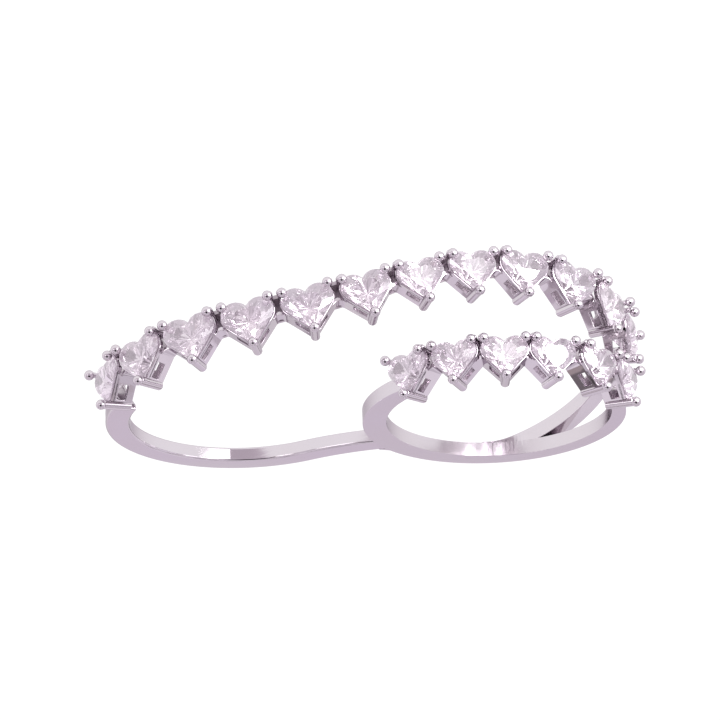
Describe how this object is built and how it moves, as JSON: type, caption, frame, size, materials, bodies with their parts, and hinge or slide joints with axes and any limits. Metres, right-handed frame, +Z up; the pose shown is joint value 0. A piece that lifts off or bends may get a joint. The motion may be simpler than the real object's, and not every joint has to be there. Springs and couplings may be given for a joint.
{
  "type": "two finger ring",
  "caption": "Ring worn over two neighbouring fingers, with a long curved row and a short row of heart-cut stones in prong baskets.",
  "frame": {"origin": "centre of the bounding box's base, where the ring lies on a surface on its knuckle side", "axes": "+X across the two fingers from the left hole to the right, +Z up, with the hearts' points upwards; the stones face +Y"},
  "size_m": [0.0424, 0.0252, 0.0104],
  "materials": {
    "metal": "polished white gold",
    "stone": "clear cut stone"
  },
  "bodies": {
    "root": {"band": "metal", "stone_long_1": "stone", "stone_long_2": "stone", "stone_long_3": "stone", "stone_long_4": "stone", "stone_long_5": "stone", "stone_long_6": "stone", "stone_long_7": "stone", "stone_long_8": "stone", "stone_long_9": "stone", "stone_long_10": "stone", "stone_long_11": "stone", "stone_long_12": "stone", "stone_short_1": "stone", "stone_short_2": "stone", "stone_short_3": "stone", "stone_short_4": "stone", "stone_short_5": "stone", "stone_short_6": "stone"}
  },
  "joints": []
}
